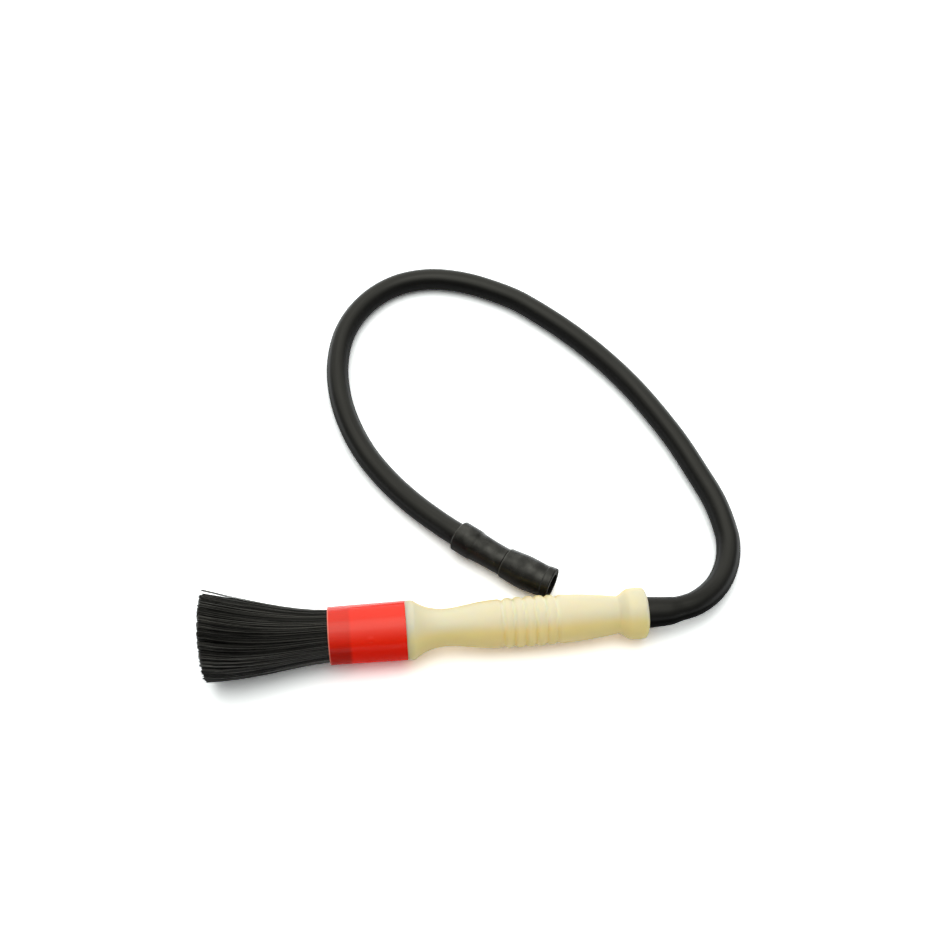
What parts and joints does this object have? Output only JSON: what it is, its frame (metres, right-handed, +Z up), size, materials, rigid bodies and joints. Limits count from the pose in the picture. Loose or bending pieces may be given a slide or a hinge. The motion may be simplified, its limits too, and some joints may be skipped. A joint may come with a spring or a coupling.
{
  "type": "parts cleaning brush",
  "caption": "Flow-through parts washing brush: a flared round tuft of bristles in a red ferrule, a ribbed turned handle, and a rubber hose that ends in an open inlet socket.",
  "frame": {"origin": "on the floor under the middle of the brush, measured without its hose, sleeve and socket", "axes": "+X along the brush from the bristle tips to the hose end of the handle, +Y to the side that the hose loops to, +Z up; the brush lies on its side on the floor and leans by less than a degree, down towards the hose end"},
  "size_m": [0.2892, 0.2807, 0.0477],
  "materials": {
    "bristle": "stiff black nylon bristles",
    "ferrule_red": "translucent glossy red plastic",
    "handle_ivory": "satin ivory polyethylene",
    "cast_resin": "cast resin",
    "tube_plastic": "natural plastic tube",
    "hose_rubber": "satin black rubber",
    "fitting_rubber": "matt black moulded rubber"
  },
  "bodies": {
    "root": {"bristle_tuft": "bristle", "ferrule": "ferrule_red", "handle": "handle_ivory", "setting_plug": "cast_resin", "flow_tube": "tube_plastic", "hose": "hose_rubber", "hose_sleeve": "fitting_rubber", "inlet_socket": "fitting_rubber"}
  },
  "joints": []
}
